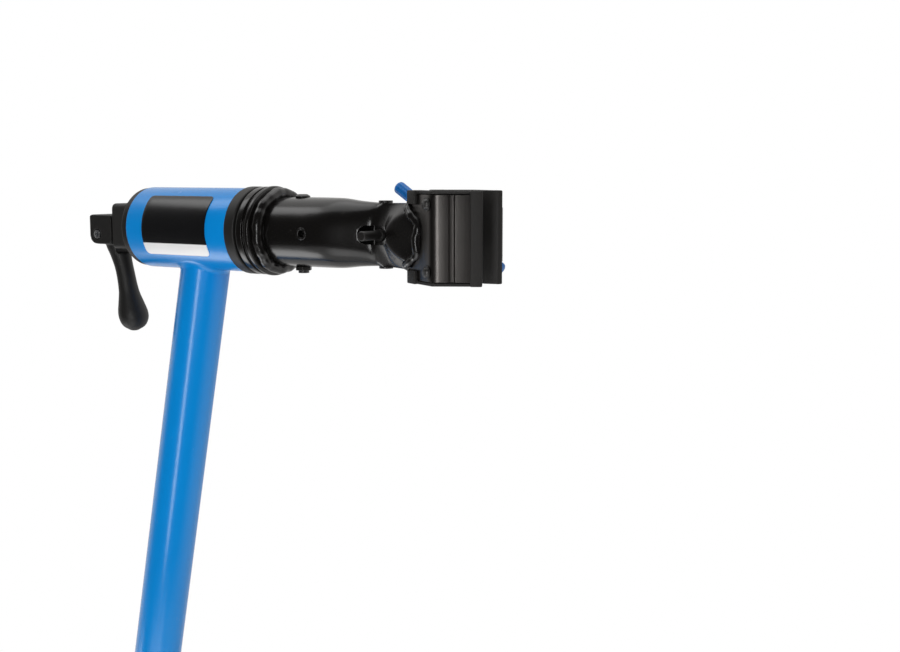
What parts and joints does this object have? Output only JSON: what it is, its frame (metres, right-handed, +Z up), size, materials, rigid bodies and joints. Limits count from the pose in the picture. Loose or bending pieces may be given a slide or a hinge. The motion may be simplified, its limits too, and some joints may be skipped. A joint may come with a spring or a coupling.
{
  "type": "bicycle repair stand",
  "caption": "Folding bicycle repair stand: leaning telescopic mast, turning clamp head with V jaws closed by a T-handle screw, cam lever lock and umbrella-fold legs.",
  "frame": {"origin": "point of the floor where the axis of the mast meets it, under the rubber mast foot", "axes": "+Z up, +X from the mast foot towards the clamp and the two front legs, +Y to the side of the screw handle"},
  "size_m": [0.6912, 0.8852, 1.367],
  "materials": {
    "blue_paint": "gloss powder coat, bright blue",
    "black_paint": "satin black powder coat",
    "jaw_steel": "smooth dark coated spring steel",
    "black_plastic": "moulded black nylon, fine texture",
    "black_rubber": "moulded black rubber",
    "plated_steel": "zinc plated steel",
    "black_steel": "black oxide steel fasteners",
    "blue_tip": "ribbed blue vinyl",
    "badge": "thin glossy panel, bare"
  },
  "bodies": {
    "base": {"lower_mast_tube": "blue_paint", "mast_foot": "black_rubber", "strut_bracket": "blue_paint", "height_collar": "black_plastic", "height_bushing": "black_plastic", "height_clamp_bolt": "plated_steel"},
    "height_lever": {"height_lever": "black_plastic"},
    "upper": {"upper_mast_tube": "blue_paint", "mast_plug": "black_plastic", "head_tube": "blue_paint", "head_bushing_front": "black_plastic", "head_bushing_rear": "black_plastic", "cam_saddle": "black_plastic", "rod_eye": "black_steel", "lever_pin": "plated_steel", "badge_plate": "badge"},
    "cam_lever": {"cam_lever": "black_plastic"},
    "arm": {"spindle": "plated_steel", "draw_rod": "plated_steel", "thrust_washer": "black_plastic", "arm_flange": "black_paint", "arm_tube": "black_paint", "stop_pin": "black_paint", "arm_end_plate": "black_paint", "pivot_bolt": "black_steel", "fixed_jaw_plate": "jaw_steel", "fixed_jaw_cover": "black_rubber", "fixed_jaw_rivet_top": "black_steel", "fixed_jaw_rivet_bottom": "black_steel"},
    "jaw_lever": {"jaw_lever": "black_paint", "pivot_sleeve": "black_paint", "moving_jaw_plate": "jaw_steel", "moving_jaw_cover": "black_rubber", "moving_jaw_rivet_top": "black_steel", "moving_jaw_rivet_bottom": "black_steel"},
    "nut_barrel": {"nut_barrel": "black_steel"},
    "swivel_block": {"swivel_block": "black_steel"},
    "screw": {"clamp_screw": "black_steel", "screw_hub": "black_steel"},
    "t_bar": {"t_bar": "plated_steel", "t_bar_tip_lower": "blue_tip", "t_bar_tip_upper": "blue_tip"},
    "leg_collar": {"leg_collar": "black_plastic", "leg_clamp_bolt": "plated_steel", "left_leg_hinge_pin": "plated_steel", "right_leg_hinge_pin": "plated_steel"},
    "leg_collar_lever": {"leg_collar_lever": "black_plastic"},
    "leg_left": {"left_leg_tongue": "black_steel", "left_leg_tube": "blue_paint", "left_leg_foot": "black_rubber", "left_leg_strut_bolt": "plated_steel"},
    "leg_right": {"right_leg_tongue": "black_steel", "right_leg_tube": "blue_paint", "right_leg_foot": "black_rubber", "right_leg_strut_bolt": "plated_steel"},
    "strut_left": {"left_leg_strut": "black_steel"},
    "strut_right": {"right_leg_strut": "black_steel"}
  },
  "joints": [
    {"name": "height_slide", "type": "slide", "parent": "base", "child": "upper", "axis": [0.1942, 0, 0.981], "range_m": [-0.347, 0.12]},
    {"name": "height_lever_swing", "type": "hinge", "parent": "base", "child": "height_lever", "pos_m": [0.13357, -0.019, 0.91141], "axis": [0.1942, 0, 0.981], "range_deg": [-140, 0]},
    {"name": "cam_lever_swing", "type": "hinge", "parent": "upper", "child": "cam_lever", "pos_m": [0.15268, 0, 1.32347], "axis": [0, 1, 0], "range_deg": [0, 120]},
    {"name": "arm_turn", "type": "hinge", "parent": "upper", "child": "arm", "pos_m": [0.26338, 0, 1.33018], "axis": [1, 0, 0], "continuous": true},
    {"name": "jaw_swing", "type": "hinge", "parent": "arm", "child": "jaw_lever", "pos_m": [0.35538, 0, 1.33018], "axis": [0, 0, 1], "range_deg": [-5.09, 16.41]},
    {"name": "nut_barrel_turn", "type": "hinge", "parent": "arm", "child": "nut_barrel", "pos_m": [0.42998, 0, 1.33018], "axis": [0, 0, 1], "range_deg": [-4.38, 14.12]},
    {"name": "swivel_slide", "type": "slide", "parent": "nut_barrel", "child": "swivel_block", "axis": [0, 1, 0], "range_m": [-0.00658, 0.02118]},
    {"name": "screw_spin", "type": "hinge", "parent": "swivel_block", "child": "screw", "pos_m": [0.42998, 0.038, 1.33018], "axis": [0, 1, 0], "range_deg": [-1180, 3808]},
    {"name": "t_bar_slide", "type": "slide", "parent": "screw", "child": "t_bar", "axis": [0.8339, 0, -0.5519], "range_m": [-0.021, 0.027]},
    {"name": "leg_collar_slide", "type": "slide", "parent": "base", "child": "leg_collar", "axis": [0.1942, 0, 0.981], "range_m": [0, 0.3441]},
    {"name": "leg_lever_swing", "type": "hinge", "parent": "leg_collar", "child": "leg_collar_lever", "pos_m": [0.05102, -0.019, 0.49451], "axis": [0.1942, 0, 0.981], "range_deg": [-140, 0]},
    {"name": "leg_left_fold", "type": "hinge", "parent": "leg_collar", "child": "leg_left", "pos_m": [0.123, 0.02336, 0.44152], "axis": [-0.5457, 0.831, 0.1081], "range_deg": [-0.02, 60.02]},
    {"name": "strut_left_fold", "type": "hinge", "parent": "leg_left", "child": "strut_left", "pos_m": [0.32001, 0.17462, 0.27326], "axis": [-0.5457, 0.831, 0.1081], "range_deg": [-120.04, 0.04]},
    {"name": "leg_right_fold", "type": "hinge", "parent": "leg_collar", "child": "leg_right", "pos_m": [0.123, -0.02336, 0.44152], "axis": [0.5457, 0.831, -0.1081], "range_deg": [-0.02, 60.02]},
    {"name": "strut_right_fold", "type": "hinge", "parent": "leg_right", "child": "strut_right", "pos_m": [0.32001, -0.17462, 0.27326], "axis": [0.5457, 0.831, -0.1081], "range_deg": [-120.04, 0.04]}
  ],
  "couplings": [
    {"joint": "swivel_slide", "follows": "screw_spin", "m_per_rad": 0.00031831},
    {"joint": "jaw_swing", "follows": "screw_spin", "ratio": 0.0043066},
    {"joint": "nut_barrel_turn", "follows": "screw_spin", "ratio": 0.0037037},
    {"joint": "leg_left_fold", "follows": "leg_collar_slide", "rad_per_m": 3.0433},
    {"joint": "strut_left_fold", "follows": "leg_collar_slide", "rad_per_m": -6.0866},
    {"joint": "leg_right_fold", "follows": "leg_collar_slide", "rad_per_m": 3.0433},
    {"joint": "strut_right_fold", "follows": "leg_collar_slide", "rad_per_m": -6.0866}
  ]
}
